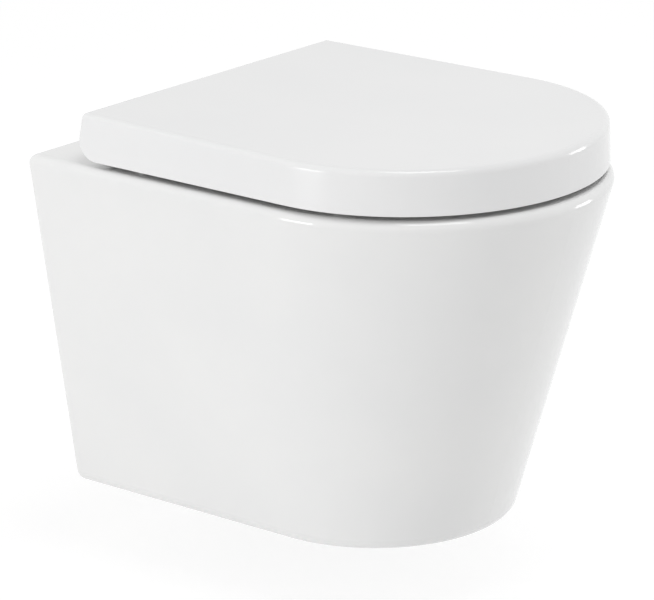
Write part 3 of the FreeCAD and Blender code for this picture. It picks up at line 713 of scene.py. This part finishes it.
@dataclass
class GripRibs:
    """Fine ribs on the release buttons' finger pads."""

    paint: "Paintwork"
    count: int = 4
    width: float = 14.0 * MM
    thickness: float = 0.7 * MM
    proud: float = 0.35 * MM
    sunk: float = 0.4 * MM
    edge: float = 0.2 * MM
    pad_height: float = 7.0 * MM

    def build(self) -> None:
        """Lay the ribs on both pads."""
        for side in Side:
            low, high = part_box(f"release_button_{side.place}")
            middle = (low + high) / 2
            work = bmesh.new()
            for number in range(self.count):
                height = middle.z + (number - (self.count - 1) / 2) * self.pad_height / (self.count + 1)
                size = Matrix.Diagonal((self.width, self.proud + self.sunk, self.thickness, 1.0))
                centre = Vector((middle.x, low.y + (self.sunk - self.proud) / 2, height))
                rib = bmesh.ops.create_cube(work, size=1.0, matrix=Matrix.Translation(centre) @ size)
                edges = {edge for vert in rib["verts"] for edge in vert.link_edges}
                bmesh.ops.bevel(
                    work, geom=list(edges), offset=self.edge, offset_type="OFFSET", segments=2,
                    profile=0.5, affect="EDGES", material=-1,
                )
            ribs = made(work, f"button_ribs_{side.place}")
            self.paint.dress(ribs, "button_grey")
            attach(ribs, f"button_{side.place}")
            LOG.info("%s made", ribs.name)


# ---------------------------------------------------------------- studio


@dataclass(frozen=True)
class Lamp:
    """A large soft lamp: its name, its place, the side of its square face and its power in watts."""

    name: str
    place: tuple[float, float, float]
    size: float
    watts: float


LAMPS = (
    Lamp("left_lamp", (-2.5, 0.5, 0.12), size=0.8, watts=13.5),
    Lamp("right_lamp", (2.4, -1.9, 0.12), size=0.8, watts=9.5),
    Lamp("top_lamp", (-0.3, -0.9, 2.6), size=1.2, watts=16.5),
)


@dataclass
class Studio:
    """A pale floor, soft light from both sides and the camera of the photograph."""

    azimuth: float = -51.21
    elevation: float = 17.55
    distance: float = 3.9523
    focal_pixels: float = 4283.5
    image_width: int = 654
    sensor: float = 36.0
    target: tuple[float, float, float] = (0.0, -0.1979, -0.06119)
    clip: tuple[float, float] = (0.05, 100.0)
    world_light: float = 0.62
    floor_level: float = -0.315
    floor_size: float = 30.0
    floor_tone: float = 0.93
    floor_glow: float = 1.15
    shadow_share: float = 0.30

    def camera(self) -> None:
        """Place the camera at the photograph's viewing angle."""
        turn, tilt = math.radians(self.azimuth), math.radians(self.elevation)
        back = Vector((math.sin(turn) * math.cos(tilt), -math.cos(turn) * math.cos(tilt), math.sin(tilt)))
        data = bpy.data.cameras.new("camera")
        data.lens = self.focal_pixels * self.sensor / self.image_width
        data.sensor_width = self.sensor
        data.sensor_fit = "HORIZONTAL"
        data.clip_start, data.clip_end = self.clip
        camera = bpy.data.objects.new("camera", data)
        camera.location = Vector(self.target) + back * self.distance
        camera.rotation_euler = back.to_track_quat("Z", "Y").to_euler()
        bpy.context.collection.objects.link(camera)
        bpy.context.scene.camera = camera

    def world(self) -> None:
        """Set a white world that shows as white and lights a little less."""
        world = bpy.data.worlds.new("studio")
        world.use_nodes = True
        bpy.context.scene.world = world
        tree = Tree(world.node_tree)
        seen = tree.seen_by("Is Camera Ray", "Is Glossy Ray", "Is Transmission Ray")
        strength = tree.add("ShaderNodeMapRange", {"Value": seen, "To Min": self.world_light, "To Max": 1.0})
        backdrop = tree.add("ShaderNodeBackground", {"Color": (1, 1, 1, 1), "Strength": strength.outputs[0]})
        tree.add("ShaderNodeOutputWorld", {0: backdrop.outputs[0]})

    def floor(self) -> None:
        """Lay a pale floor that reads as white and keeps part of the object's shadow."""
        mesh = bpy.data.meshes.new("floor")
        work = bmesh.new()
        bmesh.ops.create_grid(work, x_segments=1, y_segments=1, size=self.floor_size / 2)
        bmesh.ops.translate(work, verts=work.verts, vec=(0, 0, self.floor_level))
        work.to_mesh(mesh)
        work.free()
        floor = bpy.data.objects.new("floor", mesh)
        bpy.context.collection.objects.link(floor)
        material = bpy.data.materials.new("floor")
        material.use_nodes = True
        tree = Tree(material.node_tree)
        seen = tree.seen_by("Is Camera Ray", "Is Glossy Ray")
        share = tree.add("ShaderNodeMath", {0: seen, 1: 1.0 - self.shadow_share}, operation="MULTIPLY")
        lit = tree.add("ShaderNodeBsdfDiffuse", {"Color": (*[self.floor_tone] * 3, 1)})
        white = tree.add("ShaderNodeEmission", {"Color": (1, 1, 1, 1), "Strength": self.floor_glow})
        mix = tree.add("ShaderNodeMixShader", {0: share.outputs[0], 1: lit.outputs[0], 2: white.outputs[0]})
        tree.add("ShaderNodeOutputMaterial", {0: mix.outputs[0]})
        mesh.materials.append(material)

    def hang(self, lamp: Lamp) -> None:
        """Hang a lamp that points at the object.

        Args:
            lamp: its place, size and power.
        """
        data = bpy.data.lights.new(lamp.name, "AREA")
        data.shape = "SQUARE"
        data.size = lamp.size
        data.energy = lamp.watts
        light = bpy.data.objects.new(lamp.name, data)
        light.location = lamp.place
        light.rotation_euler = (Vector(lamp.place) - Vector(self.target)).to_track_quat("Z", "Y").to_euler()
        bpy.context.collection.objects.link(light)

    def build(self) -> None:
        """Set up the floor, the light and the camera."""
        self.world()
        self.floor()
        for lamp in LAMPS:
            self.hang(lamp)
        self.camera()
        bpy.context.scene.view_settings.view_transform = "Standard"
        LOG.info("studio ready")


def main() -> None:
    """Build the studio, dress the solids and add the finer pieces."""
    logging.basicConfig(level=logging.INFO, format="%(message)s")
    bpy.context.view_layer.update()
    Studio().build()
    paint = Paintwork.make()
    paint.dress_solids()
    SocketScrews(paint).build()
    ExpansionPlugs(paint).build()
    Buffers(paint, body="seat").row("seat_buffers", "seat_feet", stem=5.95 * MM)
    Buffers(paint, body="lid").row("lid_buffers", "lid_feet", stem=0.0)
    GripRibs(paint).build()


if __name__ == "__main__":
    main()
